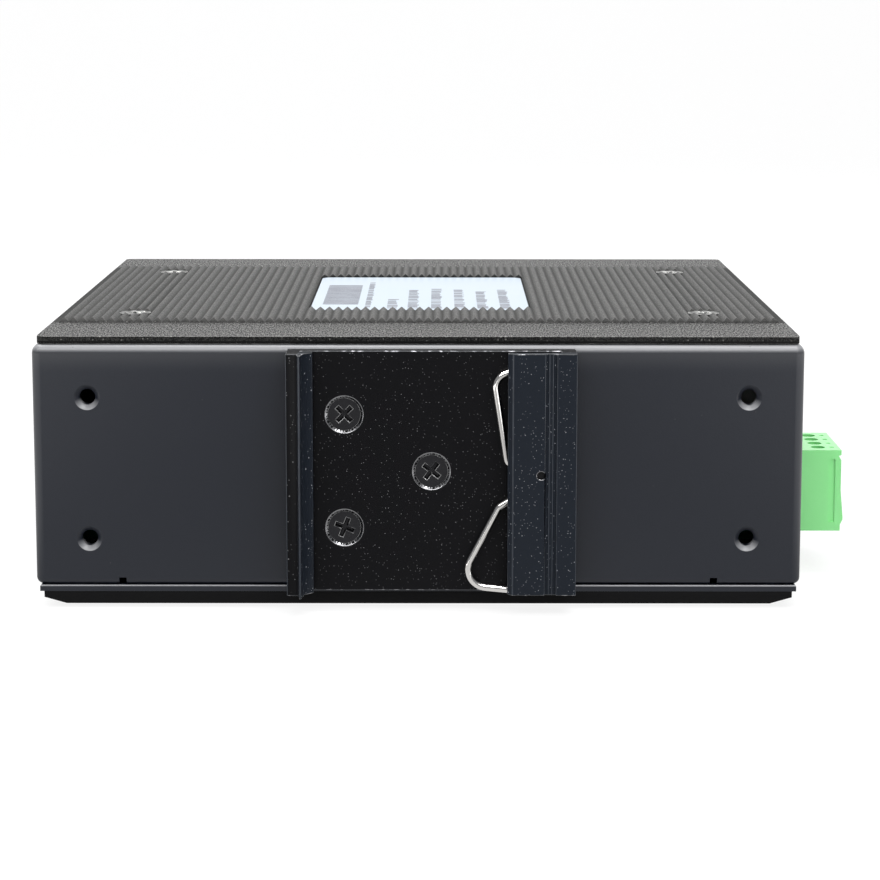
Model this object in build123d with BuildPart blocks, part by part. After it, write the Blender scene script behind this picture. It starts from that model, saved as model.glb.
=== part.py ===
"""Fanless network switch for a 35 mm rail, lying on one side with its rail clip facing backwards.

Lengths are in millimetres. X runs from the device's bottom wall to its top wall, which carries the
power terminal. Y runs from the rail clip to the front with the ports. Z runs up through the
thickness of the case. The origin is the middle of the footprint, on the tips of the lower ribs.
"""
from build123d import *
from math import asin, atan2, cos, degrees, hypot, sin
import os

os.makedirs("parts", exist_ok=True)

# Folded sheet case
case_width = 127.2
case_depth = 119.5
case_height = 40.4
wall = 1.2
fold_radius = 1.6
flange_depth = 9.0
notch_inset = 14.5
notch_size = 1.2
lower_sheet = 1.1
lower_sheet_inset = 0.7
sheet_edge_radius = 0.35
edge_land = 0.15
window_gap = 0.1

# Ribbed aluminium plates on the two large sides
plate_inset = 0.8
upper_plate = 1.2
lower_plate = 2.2
lower_plate_inset = 1.4
lower_bevel_height = 1.2
lower_bevel_width = 3.6
lower_bevel_depth = 0.6
rib_height = 0.75
rib_pitch = 1.6
rib_side_margin = 1.1
rib_crest = 0.16
rib_valley = 0.12
rib_end_margin = 17.5
plate_corner = 1.2

# Rating label in its pocket
label_width = 39.0
label_length = 50.0
label_thickness = 0.15
label_gap = 0.3
label_corner = 2.0
label_shift = -1.2

# Countersunk M3 screws and pressed-in nuts
screw_radius = 1.5
head_radius = 2.75
head_recess = 0.35
screw_gap = 0.1
cross_width = 0.75
cross_share = 0.6
cross_depth = 0.9
cross_taper = 12
small_screw_radius = 1.25
small_head_radius = 2.2
pan_height = 1.8
nut_radius = 2.8
nut_height = 1.6
nut_chamfer = 0.3
cover_screw_length = 5.0
cover_screw_inset_x = 13.8
cover_screw_inset_y = 28.25
flange_screw_spacing = 60.0
flange_screw_proud = 0.6

# Tapped bracket holes in the back panel
bracket_spacing_x = 109.0
bracket_spacing_z = 23.7
bracket_hole_radius = 1.3
bracket_dimple_radius = 2.1
bracket_dimple_depth = 0.8
bracket_collar_length = 0.9

# Extruded rail clip
clip_centre_x = 2.2
clip_shortfall = 0.4
clip_drop = 0.5
clip_base = 2.4
rail_width = 35.0
rail_overlap = 3.2
rail_room = 1.2
left_wall = 2.3
left_wall_height = 6.4
left_ridge_height = 8.8
left_ridge_base = 1.0
left_ridge_crest = 0.3
left_lip_reach = 2.0
left_lip_root = 5.9
left_lip_tip = 4.4
right_wall = 2.5
right_height = 6.2
right_lip_reach = 8.7
channel_height = 2.2
lip_chamfer = 0.8
groove_centre = 4.2
groove_width = 1.8
groove_depth = 0.5
groove_ridges = 2
groove_ridge_width = 0.4
clip_screw_offset_x = -14.3
clip_screw_offset_z = 9.45
clip_screw_length = 5.2

# Wire spring on its stake
wire_radius = 0.58
stake_radius = 0.65
stake_gap = 0.1
stake_offset = 5.4
stake_sink = 0.5
stake_depth = 0.8
loop_bend = 2.3
foot_bend = 3.2
knee_bend = 1.2
upper_loop_reach = 2.24
upper_loop_inset = 4.31
upper_foot_reach = 3.85
upper_foot_inset = 2.22
lower_loop_reach = 8.28
lower_loop_inset = 1.2
lower_foot_reach = 1.35
lower_foot_inset = 0.3
knee_reach = 1.42
knee_drop = 5.78

# Pluggable four-pole power terminal
pole_count = 4
pole_pitch = 3.81
plug_end_wall = 1.0
plug_reach = 10.8
plug_height = 14.4
plug_drop = 8.0
plug_wall_gap = 0.4
plug_from_back = 32.6
plug_swell = 0.45
swell_start = 1.1
cap_height = 0.9
plug_groove_inset = 2.0
plug_groove_width = 1.0
plug_groove_depth = 0.25
plug_groove_margin = 1.6
nose_length = 7.4
nose_height = 7.0
screw_hole_radius = 1.25
screw_hole_inset = 4.2
test_hole_radius = 0.45
test_hole_inset = 1.3
test_hole_depth = 2.0
wire_entry_width = 2.5
wire_entry_height = 2.6
wire_entry_rise = 5.6
clamp_width = 3.0
clamp_length = 3.6
clamp_floor = 0.8
clamp_roof = 1.6
clamp_screw_radius = 1.1
clamp_screw_length = 5.0
driver_slot_width = 0.6
driver_slot_depth = 0.8
contact_size = 2.4
contact_wall = 0.3
contact_setback = 0.5
header_gap = 0.3
header_wall = 1.0
header_floor = 2.4
pin_width = 1.0
pin_setback = 1.6
pin_tail = 1.2
pin_gap = 0.05

# Circuit board and its supports
board_thickness = 1.6
board_side_gap = 2.4
board_front_gap = 2.0
board_back_gap = 9.1
standoff_radius = 2.75
standoff_root_radius = 2.1
standoff_inset = 5.0
standoff_front_inset = 15.5
board_screw_floor = 2.1

# Block of ports, two rows of four
port_columns = 4
port_rows = 2
port_pitch_x = 13.97
port_pitch_z = 12.8
port_width = 11.7
port_height = 6.7
port_depth = 13.0
latch_width = 6.2
latch_height = 1.4
keyway_width = 3.2
keyway_height = 1.2
port_block_depth = 25.4
port_block_margin = 1.0
port_block_inset = 17.16
shield = 0.3
contact_count = 8
contact_pitch = 1.02
contact_wire = 0.4
contact_start = 2.5
contact_rise = 2.3

# Status lights
light_rows = 2
light_columns = 5
light_pitch_x = 5.2
light_pitch_z = 4.6
light_radius = 1.0
light_rise = 6.0
light_block_depth = 3.0
light_setback = 7.0
light_proud = 0.3
led_size = 1.6
led_height = 0.8

# Parts on the board
chip_size = 14.0
chip_height = 1.4
chip_corner = 0.7
chip_x = -6.0
chip_y = -8.0
pad_thickness = 0.5
sink_size = 20.0
sink_base = 1.6
sink_height = 9.0
sink_fins = 6
sink_fin = 1.0
transformer_width = 12.7
transformer_length = 7.2
transformer_height = 5.8
transformer_bevel = 0.35
transformer_pitch = 15.0
transformer_gap = 6.75
capacitor_radius = 5.0
capacitor_height = 16.0
capacitor_edge = 0.5
capacitor_pitch = 13.0
capacitor_y = -38.0
inductor_size = 12.0
inductor_height = 7.0
inductor_corner = 1.5
inductor_y = -18.0
power_inset = 23.9
crystal_length = 11.0
crystal_width = 4.6
crystal_height = 3.5
crystal_x = -28.0
crystal_y = -8.0

# Levels and faces that follow from the sizes above
lower_face = rib_height
lower_plate_top = lower_face + lower_plate
case_bottom = lower_plate_top + lower_sheet
case_top = case_bottom + case_height
upper_face = case_top + upper_plate
back = -case_depth / 2
front = case_depth / 2
top_wall = case_width / 2
middle = (case_bottom + case_top) / 2 - clip_drop
clip_height = case_height - clip_shortfall
notch_x = case_width / 2 - notch_inset
board_front = front - wall - board_front_gap
board_back = back + wall + board_back_gap
board_width = case_width - 2 * wall - 2 * board_side_gap
board_length = board_front - board_back
plate_width = case_width - 2 * plate_inset
plate_depth = case_depth - 2 * plate_inset
flange_screw_length = lower_sheet + wall + flange_screw_proud
lower_plate_width = case_width - 2 * lower_plate_inset
lower_flat_width = lower_plate_width - 2 * lower_bevel_width
port_block_width = port_columns * port_pitch_x + port_block_margin
port_block_height = port_rows * port_pitch_z + port_block_margin
port_block_x = port_block_inset - top_wall + port_block_width / 2
standoff_height = (case_height - wall - board_thickness - port_block_height) / 2
board_bottom = case_bottom + standoff_height
board_top = board_bottom + board_thickness
board_screw_length = board_thickness + standoff_height - board_screw_floor
port_block_z = board_top + port_block_height / 2
light_x = (port_block_x + port_block_width / 2 + top_wall - wall) / 2
light_z = board_top + light_rise + (light_rows - 1) * light_pitch_z / 2 + light_radius
plug_length = pole_count * pole_pitch + 2 * plug_end_wall
plug_y = back + plug_from_back
plug_face = top_wall + plug_reach
nose_end = top_wall + plug_wall_gap - nose_length
pin_z = board_top + header_wall + header_gap + nose_height / 2
plug_level = pin_z - plug_drop
clip_face = back - clip_base
clip_gap_width = rail_width - rail_overlap
clip_width = left_wall + left_lip_reach + clip_gap_width + right_lip_reach + right_wall
clip_left = clip_centre_x - clip_width / 2
left_inner = clip_left + left_wall
left_tip = left_inner + left_lip_reach
right_tip = left_tip + clip_gap_width
right_inner = right_tip + right_lip_reach
clip_right = right_inner + right_wall
stake_x = right_tip + stake_offset
clip_half = clip_height / 2
upper_foot = (upper_foot_reach - stake_offset, clip_half - upper_foot_inset)
upper_loop = (-upper_loop_reach - stake_offset, clip_half - upper_loop_inset)
upper_knee_x = -stake_offset
lower_knee = (-knee_reach - stake_offset, -knee_drop)
lower_loop = (-lower_loop_reach - stake_offset, lower_loop_inset - clip_half)
lower_foot = (lower_foot_reach - stake_offset, lower_foot_inset - clip_half)


def flat_screw(length, screw_radius, head_radius):
    """Countersunk screw, its head's face at height 0 and its shank along -Z."""
    head_height = head_radius - screw_radius
    with BuildPart() as screw:
        with BuildSketch(Plane.XZ):
            with BuildLine():
                Polyline(
                    (0, 0),
                    (head_radius, 0),
                    (screw_radius, -head_height),
                    (screw_radius, -length),
                    (0, -length),
                    close=True,
                )
            make_face()
        revolve(axis=Axis.Z)
        with BuildSketch(Plane.XY):
            Rectangle(cross_share * 2 * head_radius, cross_width)
            Rectangle(cross_width, cross_share * 2 * head_radius)
        extrude(amount=-cross_depth, taper=cross_taper, mode=Mode.SUBTRACT)
    return screw.part


def pressed_nut():
    """Round nut pressed into a sheet, standing up from height 0."""
    with BuildPart() as nut:
        Cylinder(nut_radius, nut_height, align=(Align.CENTER, Align.CENTER, Align.MIN))
        Hole(screw_radius)
        chamfer(nut.edges().group_by(Axis.Z)[-1].sort_by(SortBy.LENGTH)[-1], nut_chamfer)
    return nut.part


def ribs_across(width):
    """The odd number of ribs that fits across a width, one of them in the middle."""
    return 2 * int((width / 2 - rib_side_margin) / rib_pitch - 0.5) + 1


def rib_outline(count):
    """Section of the ribs across a plate, with the plate's face at height 0."""
    half = count * rib_pitch / 2
    flank = (rib_pitch - rib_crest) / 2
    points = [(-half, -rib_height), (-half, rib_valley)]
    for i in range(count):
        start = -half + i * rib_pitch
        points.append((start + flank, rib_height))
        points.append((start + flank + rib_crest, rib_height))
        points.append((start + rib_pitch, rib_valley))
    points.append((half, -rib_height))
    return points


def facing(x, y, z, normal):
    """Plane at a point, with its Z along the normal and its X along the device's length."""
    return Plane(origin=(x, y, z), x_dir=(1, 0, 0), z_dir=normal)


def corners(spacing_x, spacing_y):
    """The four corners of a rectangle about the origin."""
    return [(sx * spacing_x / 2, sy * spacing_y / 2) for sx in (-1, 1) for sy in (-1, 1)]


def save(builder, name):
    """Label a finished piece and write it."""
    builder.part.label = name
    export_step(builder.part, f"parts/{name}.step")


cover_screw_points = corners(case_width - 2 * cover_screw_inset_x, case_depth - 2 * cover_screw_inset_y)
standoff_x = board_width / 2 - standoff_inset
standoff_points = [
    (x, y)
    for x in (-standoff_x, standoff_x)
    for y in (board_back + standoff_inset, board_front - standoff_front_inset)
]
flange_screw_points = corners(flange_screw_spacing, case_depth - flange_depth)
clip_screw_points = [
    (clip_centre_x, middle),
    (clip_centre_x + clip_screw_offset_x, middle + clip_screw_offset_z),
    (clip_centre_x + clip_screw_offset_x, middle - clip_screw_offset_z),
]
bracket_points = [(x, middle + z) for x, z in corners(bracket_spacing_x, bracket_spacing_z)]
light_xs = [light_x + (i - (light_columns - 1) / 2) * light_pitch_x for i in range(light_columns)]
light_zs = [light_z + (j - (light_rows - 1) / 2) * light_pitch_z for j in range(light_rows)]
light_points = [(x, z) for x in light_xs for z in light_zs]

# Case, one sheet folded into a tray that opens downwards
with BuildPart() as housing:
    with BuildSketch(Plane.XY.offset(case_bottom)):
        RectangleRounded(case_width, case_depth, fold_radius)
    extrude(amount=case_height)
    fillet(housing.faces().sort_by(Axis.Z)[-1].outer_wire().edges(), fold_radius)
    offset(amount=-wall, openings=housing.faces().sort_by(Axis.Z)[0])
    # The back and front walls turn inwards at their lower edges, with two relief notches
    with BuildSketch(Plane.XY.offset(case_bottom)):
        RectangleRounded(case_width, case_depth, fold_radius)
        Rectangle(case_width, case_depth - 2 * flange_depth, mode=Mode.SUBTRACT)
    extrude(amount=wall)
    with BuildSketch(Plane.XZ.offset(case_depth)):
        with Locations((-notch_x, case_bottom), (notch_x, case_bottom)):
            Rectangle(notch_size, 2 * notch_size)
    extrude(amount=-2 * case_depth, mode=Mode.SUBTRACT)
    lower_rim = housing.edges().group_by(Axis.Z)[0].filter_by(
        lambda edge: abs(edge.center().X) > (case_width - wall) / 2
        or abs(edge.center().Y) > (case_depth - wall) / 2
    )
    fillet(lower_rim, wall - edge_land)
    # Clearance holes for the cover screws and tapped holes for the lower sheet
    with Locations(*[(x, y, case_top) for x, y in cover_screw_points]):
        Hole(screw_radius + screw_gap, depth=2 * wall)
    with Locations(*[(x, y, case_bottom + wall) for x, y in flange_screw_points]):
        Hole(small_screw_radius, depth=2 * wall)
    # Holes for the rail clip's screws, and four tapped holes drawn inwards
    with Locations(*[facing(x, back, z, (0, -1, 0)) for x, z in clip_screw_points]):
        Hole(screw_radius + screw_gap, depth=2 * wall)
    with Locations(*[facing(x, back + wall, z, (0, 1, 0)) for x, z in bracket_points]):
        Cylinder(
            bracket_dimple_radius,
            bracket_collar_length,
            align=(Align.CENTER, Align.CENTER, Align.MIN),
        )
    with Locations(*[facing(x, back, z, (0, -1, 0)) for x, z in bracket_points]):
        Hole(bracket_hole_radius, depth=wall + bracket_collar_length)
        Cone(
            bracket_hole_radius,
            bracket_dimple_radius,
            bracket_dimple_depth,
            align=(Align.CENTER, Align.CENTER, Align.MAX),
            mode=Mode.SUBTRACT,
        )
    # Windows for the ports, the status lights and the power terminal
    with BuildSketch(Plane.XZ.offset(-front)):
        with Locations((port_block_x, port_block_z)):
            Rectangle(port_block_width + 2 * window_gap, port_block_height + 2 * window_gap)
        with Locations(*light_points):
            Circle(light_radius + window_gap)
    extrude(amount=2 * wall, both=True, mode=Mode.SUBTRACT)
    with BuildSketch(Plane.YZ.offset(top_wall)):
        with Locations((plug_y, pin_z)):
            Rectangle(
                plug_length + 2 * (header_gap + header_wall + window_gap),
                nose_height + 2 * (header_gap + header_wall + window_gap),
            )
    extrude(amount=2 * wall, both=True, mode=Mode.SUBTRACT)
save(housing, "housing")

# Upper ribbed plate, with a flat pocket for the label
with BuildPart() as ribbed_side_cover:
    with BuildSketch(Plane.XY.offset(case_top)):
        RectangleRounded(plate_width, plate_depth, plate_corner)
    extrude(amount=upper_plate)
    with BuildSketch(facing(0, 0, upper_face, (0, -1, 0))):
        with BuildLine():
            Polyline(*rib_outline(ribs_across(plate_width)), close=True)
        make_face()
    extrude(amount=case_depth / 2 - rib_end_margin, both=True)
    with BuildSketch(Plane.XY.offset(upper_face)):
        with Locations((0, label_shift)):
            RectangleRounded(label_width + 2 * label_gap, label_length + 2 * label_gap, label_corner)
    extrude(amount=rib_height, mode=Mode.SUBTRACT)
    with Locations(*[(x, y, upper_face + rib_height) for x, y in cover_screw_points]):
        CounterSinkHole(
            screw_radius + screw_gap,
            head_radius + head_recess,
            depth=upper_plate + rib_height,
            counter_sink_angle=90,
        )
save(ribbed_side_cover, "ribbed_side_cover")

# Rating label, a thin film stuck in the pocket
with BuildPart() as rating_label:
    with BuildSketch(Plane.XY.offset(upper_face)):
        with Locations((0, label_shift)):
            RectangleRounded(label_width, label_length, label_corner - label_gap)
    extrude(amount=label_thickness)
save(rating_label, "rating_label")

# Screws that hold the upper plate, and the nuts under the case's sheet
cover_screw = flat_screw(cover_screw_length, screw_radius, head_radius)
nut = pressed_nut()
with BuildPart() as side_cover_screws:
    with Locations(*[(x, y, upper_face + rib_height - head_recess) for x, y in cover_screw_points]):
        add(cover_screw)
save(side_cover_screws, "side_cover_screws")

with BuildPart() as side_cover_nuts:
    with Locations(*[facing(x, y, case_top - wall, (0, 0, -1)) for x, y in cover_screw_points]):
        add(nut)
save(side_cover_nuts, "side_cover_nuts")

# Lower sheet that closes the tray, with holes for its screws, the plate's screws and the standoffs
with BuildPart() as lower_cover:
    with BuildSketch(Plane.XY.offset(lower_plate_top)):
        Rectangle(case_width - 2 * lower_sheet_inset, case_depth)
    extrude(amount=lower_sheet)
    fillet(lower_cover.edges().group_by(Axis.Z)[-1], sheet_edge_radius)
    with Locations(*[(x, y, case_bottom) for x, y in cover_screw_points]):
        Hole(screw_radius + screw_gap)
    with Locations(*[(x, y, case_bottom) for x, y in standoff_points]):
        Hole(standoff_root_radius)
    with Locations(*[facing(x, y, lower_plate_top, (0, 0, -1)) for x, y in flange_screw_points]):
        CounterSinkHole(
            small_screw_radius + screw_gap,
            small_head_radius,
            depth=lower_sheet,
            counter_sink_angle=90,
        )
save(lower_cover, "lower_cover")

flange_screw = flat_screw(flange_screw_length, small_screw_radius, small_head_radius)
with BuildPart() as lower_cover_screws:
    with Locations(*[facing(x, y, lower_plate_top, (0, 0, -1)) for x, y in flange_screw_points]):
        add(flange_screw)
save(lower_cover_screws, "lower_cover_screws")

# Lower ribbed plate, with a bevelled rim, on whose rib tips the device lies
with BuildPart() as lower_side_cover:
    with BuildSketch(Plane.XY.offset(lower_plate_top)):
        Rectangle(lower_plate_width, case_depth)
    extrude(amount=-(lower_plate - lower_bevel_height))
    with BuildSketch(Plane.XY.offset(lower_face + lower_bevel_height)):
        Rectangle(lower_plate_width, case_depth)
    with BuildSketch(Plane.XY.offset(lower_face)):
        Rectangle(lower_flat_width, case_depth - 2 * lower_bevel_depth)
    loft(ruled=True)
    with BuildSketch(facing(0, 0, lower_face, (0, 1, 0))):
        with BuildLine():
            Polyline(*rib_outline(ribs_across(lower_flat_width)), close=True)
        make_face()
    extrude(amount=case_depth / 2 - rib_end_margin, both=True)
    with Locations(*[facing(x, y, 0, (0, 0, -1)) for x, y in cover_screw_points]):
        CounterSinkHole(
            screw_radius + screw_gap,
            head_radius + head_recess,
            depth=lower_plate_top,
            counter_sink_angle=90,
        )
save(lower_side_cover, "lower_side_cover")

with BuildPart() as lower_side_screws:
    with Locations(*[facing(x, y, head_recess, (0, 0, -1)) for x, y in cover_screw_points]):
        add(cover_screw)
save(lower_side_screws, "lower_side_screws")

with BuildPart() as lower_side_nuts:
    with Locations(*[(x, y, case_bottom) for x, y in cover_screw_points]):
        add(nut)
save(lower_side_nuts, "lower_side_nuts")

# Rail clip, one aluminium extrusion: a short hook on the left and a deep one on the right
left_hook = [
    (clip_left, 0),
    (clip_left, left_wall_height),
    (left_inner - left_ridge_base / 2, left_wall_height),
    (left_inner - left_ridge_crest / 2, left_ridge_height),
    (left_inner + left_ridge_crest / 2, left_ridge_height),
    (left_inner + left_ridge_base / 2, left_lip_root),
    (left_tip, left_lip_tip),
    (left_tip, clip_base + rail_room),
    (left_inner, clip_base + rail_room),
    (left_inner, clip_base),
]
right_hook = [
    (right_inner, clip_base),
    (right_inner, clip_base + channel_height),
    (right_tip, clip_base + channel_height),
    (right_tip, right_height - lip_chamfer),
    (right_tip + lip_chamfer, right_height),
]
groove_floor = right_height - groove_depth
groove_left = clip_right - groove_centre - groove_width / 2
groove = [(groove_left, right_height), (groove_left, groove_floor)]
for ridge in range(1, groove_ridges + 1):
    ridge_x = groove_left + ridge * groove_width / (groove_ridges + 1)
    groove += [
        (ridge_x - groove_ridge_width / 2, groove_floor),
        (ridge_x, right_height - groove_depth / 2),
        (ridge_x + groove_ridge_width / 2, groove_floor),
    ]
groove += [(groove_left + groove_width, groove_floor), (groove_left + groove_width, right_height)]
clip_end = [(clip_right, right_height), (clip_right, 0)]
clip_outline = left_hook + right_hook + groove + clip_end
with BuildPart() as din_plate:
    with BuildSketch(Plane.XY.offset(middle - clip_height / 2)):
        with BuildLine():
            Polyline(*[(x, back - rise) for x, rise in clip_outline], close=True)
        make_face()
    extrude(amount=clip_height)
    with Locations(*[facing(x, clip_face, z, (0, -1, 0)) for x, z in clip_screw_points]):
        CounterSinkHole(
            screw_radius + screw_gap,
            head_radius + head_recess,
            depth=clip_base,
            counter_sink_angle=90,
        )
    with Locations(facing(stake_x, back - right_height, middle, (0, -1, 0))):
        Hole(stake_radius, depth=right_height - clip_base + stake_depth)
save(din_plate, "din_plate")

clip_screw = flat_screw(clip_screw_length, screw_radius, head_radius)
with BuildPart() as din_plate_screws:
    with Locations(*[facing(x, clip_face + head_recess, z, (0, -1, 0)) for x, z in clip_screw_points]):
        add(clip_screw)
save(din_plate_screws, "din_plate_screws")

with BuildPart() as din_plate_nuts:
    with Locations(*[facing(x, back + wall, z, (0, 1, 0)) for x, z in clip_screw_points]):
        add(nut)
save(din_plate_nuts, "din_plate_nuts")

# Stake across the deep hook's channel, and the wire spring that swings about it
with BuildPart() as spring_pin:
    with BuildSketch(facing(stake_x, clip_face + stake_depth, middle, (0, -1, 0))):
        Circle(stake_radius)
    extrude(amount=stake_depth + right_height - clip_base - stake_sink)
save(spring_pin, "spring_pin")

wrap_radius = stake_radius + stake_gap + wire_radius
to_stake = atan2(-lower_knee[1], -lower_knee[0])
lower_heading = to_stake - asin(wrap_radius / hypot(*lower_knee))
leave_angle = degrees(lower_heading) - 90
leave_point = (wrap_radius * sin(lower_heading), -wrap_radius * cos(lower_heading))
with BuildPart() as spring_wire:
    with BuildLine(facing(stake_x, clip_face - channel_height / 2, middle, (0, -1, 0))) as route:
        FilletPolyline(
            upper_foot,
            upper_loop,
            (upper_knee_x, wrap_radius),
            (0, wrap_radius),
            radius=[loop_bend, knee_bend],
        )
        CenterArc((0, 0), wrap_radius, 90, leave_angle - 90)
        FilletPolyline(
            leave_point,
            lower_knee,
            lower_loop,
            lower_foot,
            radius=[knee_bend, foot_bend],
        )
    with BuildSketch(Plane(origin=route.wire() @ 0, z_dir=route.wire() % 0)):
        Circle(wire_radius)
    sweep(path=route.wire())
save(spring_wire, "spring_wire")

# Green pluggable terminal: screw heads on its upper side, wire entries on its outer face
plug_top = plug_level + plug_height
body_start = top_wall + plug_wall_gap
face = plug_face - plug_swell
plug_outline = [
    (body_start, plug_level),
    (face, plug_level),
    (face, plug_level + swell_start),
    (plug_face, plug_level + swell_start + 2 * plug_swell),
    (plug_face, plug_level + swell_start + 3 * plug_swell),
    (face, plug_level + plug_height / 2),
    (face, plug_top - 2 * cap_height),
    (face - plug_swell, plug_top - cap_height - plug_swell / 4),
    (face, plug_top - cap_height),
    (face, plug_top),
    (body_start, plug_top),
]
clamp_x = plug_face - screw_hole_inset
clamp_back = clamp_x - clamp_length / 2
wire_z = plug_level + wire_entry_rise
clamp_low = wire_z - wire_entry_height / 2 - clamp_floor
clamp_high = wire_z + wire_entry_height / 2 + clamp_roof
pole_ys = [plug_y + (i - (pole_count - 1) / 2) * pole_pitch for i in range(pole_count)]
plug_ends = (plug_y - plug_length / 2, plug_y + plug_length / 2)
with BuildPart() as terminal_plug:
    with BuildSketch(facing(0, plug_y, 0, (0, -1, 0))):
        with BuildLine():
            Polyline(*plug_outline, close=True)
        make_face()
    extrude(amount=plug_length / 2, both=True)
    with Locations(*[(plug_face - plug_groove_inset, y, plug_level + plug_height / 2) for y in plug_ends]):
        Box(
            plug_groove_width,
            2 * plug_groove_depth,
            plug_height - 2 * plug_groove_margin,
            mode=Mode.SUBTRACT,
        )
    with BuildSketch(Plane.YZ.offset(body_start)):
        with Locations((plug_y, pin_z)):
            Rectangle(pole_count * pole_pitch, nose_height)
    extrude(amount=-nose_length)
    with BuildSketch(Plane.YZ.offset(plug_face)):
        with Locations(*[(y, wire_z) for y in pole_ys]):
            Rectangle(wire_entry_width, wire_entry_height)
    extrude(amount=-(plug_face - clamp_back), mode=Mode.SUBTRACT)
    with BuildSketch(Plane.YZ.offset(clamp_back)):
        with Locations(*[(y, (clamp_low + clamp_high) / 2) for y in pole_ys]):
            Rectangle(clamp_width, clamp_high - clamp_low)
    extrude(amount=clamp_length, mode=Mode.SUBTRACT)
    with BuildSketch(Plane.YZ.offset(nose_end)):
        with Locations(*[(y, pin_z) for y in pole_ys]):
            Rectangle(contact_size, contact_size)
    extrude(amount=clamp_back - nose_end, mode=Mode.SUBTRACT)
    with Locations(*[(clamp_x, y, plug_top) for y in pole_ys]):
        Hole(screw_hole_radius, depth=plug_top - clamp_high)
    with Locations(*[(face - test_hole_inset, y, plug_top) for y in pole_ys]):
        Hole(test_hole_radius, depth=test_hole_depth)
save(terminal_plug, "terminal_plug")

# Wire clamps and their screws inside the plug
with BuildPart() as plug_clamps:
    with BuildSketch(Plane.YZ.offset(clamp_back)):
        with Locations(*[(y, (clamp_low + clamp_high) / 2) for y in pole_ys]):
            Rectangle(clamp_width, clamp_high - clamp_low)
        with Locations(*[(y, wire_z) for y in pole_ys]):
            Rectangle(wire_entry_width, wire_entry_height, mode=Mode.SUBTRACT)
    extrude(amount=clamp_length)
    with Locations(*[(clamp_x, y, clamp_high) for y in pole_ys]):
        Hole(clamp_screw_radius, depth=clamp_roof)
save(plug_clamps, "plug_clamps")

with BuildPart() as plug_clamp_screws:
    with Locations(*[(clamp_x, y, clamp_high - clamp_roof) for y in pole_ys]):
        Cylinder(clamp_screw_radius, clamp_screw_length, align=(Align.CENTER, Align.CENTER, Align.MIN))
    with Locations(*[(clamp_x, y, clamp_high - clamp_roof + clamp_screw_length) for y in pole_ys]):
        Box(
            2 * clamp_screw_radius,
            driver_slot_width,
            2 * driver_slot_depth,
            mode=Mode.SUBTRACT,
        )
save(plug_clamp_screws, "plug_clamp_screws")

with BuildPart() as plug_contacts:
    with BuildSketch(Plane.YZ.offset(nose_end + contact_setback)):
        with Locations(*[(y, pin_z) for y in pole_ys]):
            Rectangle(contact_size, contact_size)
            Rectangle(contact_size - 2 * contact_wall, contact_size - 2 * contact_wall, mode=Mode.SUBTRACT)
    extrude(amount=clamp_back - nose_end - contact_setback)
save(plug_contacts, "plug_contacts")

# Header on the board that receives the plug through the top wall
header_back = nose_end - header_gap - header_floor
header_width = pole_count * pole_pitch + 2 * (header_gap + header_wall)
header_height = nose_height + 2 * (header_gap + header_wall)
with BuildPart() as terminal_header:
    with BuildSketch(Plane.YZ.offset(header_back)):
        with Locations((plug_y, pin_z)):
            Rectangle(header_width, header_height)
    extrude(amount=top_wall - header_back)
    with BuildSketch(Plane.YZ.offset(top_wall)):
        with Locations((plug_y, pin_z)):
            Rectangle(header_width - 2 * header_wall, header_height - 2 * header_wall)
    extrude(amount=-(top_wall - header_back - header_floor), mode=Mode.SUBTRACT)
    with BuildSketch(Plane.YZ.offset(header_back)):
        with Locations(*[(y, pin_z) for y in pole_ys]):
            Rectangle(pin_width, pin_width)
    extrude(amount=header_floor, mode=Mode.SUBTRACT)
save(terminal_header, "terminal_header")

leg_x = header_back - pin_width
with BuildPart() as header_pins:
    for y in pole_ys:
        with BuildSketch(facing(0, y, 0, (0, -1, 0))):
            with BuildLine():
                Polyline(
                    (leg_x - pin_width / 2, board_bottom - pin_tail),
                    (leg_x + pin_width / 2, board_bottom - pin_tail),
                    (leg_x + pin_width / 2, pin_z - pin_width / 2),
                    (top_wall - pin_setback, pin_z - pin_width / 2),
                    (top_wall - pin_setback, pin_z + pin_width / 2),
                    (leg_x - pin_width / 2, pin_z + pin_width / 2),
                    close=True,
                )
            make_face()
        extrude(amount=pin_width / 2, both=True)
save(header_pins, "header_pins")

# Main circuit board on four standoffs pressed into the lower sheet
with BuildPart() as main_board:
    with BuildSketch(Plane.XY.offset(board_bottom)):
        with Locations((0, (board_back + board_front) / 2)):
            Rectangle(board_width, board_length)
        with Locations(*standoff_points):
            Circle(screw_radius + screw_gap, mode=Mode.SUBTRACT)
        with Locations(*[(leg_x, y) for y in pole_ys]):
            Circle(hypot(pin_width, pin_width) / 2 + pin_gap, mode=Mode.SUBTRACT)
    extrude(amount=board_thickness)
save(main_board, "main_board")

with BuildPart() as board_standoffs:
    with BuildSketch(Plane.XY.offset(lower_plate_top)):
        with Locations(*standoff_points):
            Circle(standoff_root_radius)
    extrude(amount=lower_sheet)
    with BuildSketch(Plane.XY.offset(case_bottom)):
        with Locations(*standoff_points):
            RegularPolygon(standoff_radius, 6)
    extrude(amount=standoff_height)
    with Locations(*[(x, y, board_bottom) for x, y in standoff_points]):
        Hole(screw_radius, depth=board_screw_length)
save(board_standoffs, "board_standoffs")

with BuildPart() as board_screws:
    with Locations(*[(x, y, board_top) for x, y in standoff_points]):
        Cylinder(head_radius, pan_height, align=(Align.CENTER, Align.CENTER, Align.MIN))
        Cylinder(screw_radius, board_screw_length, align=(Align.CENTER, Align.CENTER, Align.MAX))
    with BuildSketch(Plane.XY.offset(board_top + pan_height)):
        with Locations(*standoff_points):
            Rectangle(cross_share * 2 * head_radius, cross_width)
            Rectangle(cross_width, cross_share * 2 * head_radius)
    extrude(amount=-cross_depth, mode=Mode.SUBTRACT)
save(board_screws, "board_screws")

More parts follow.
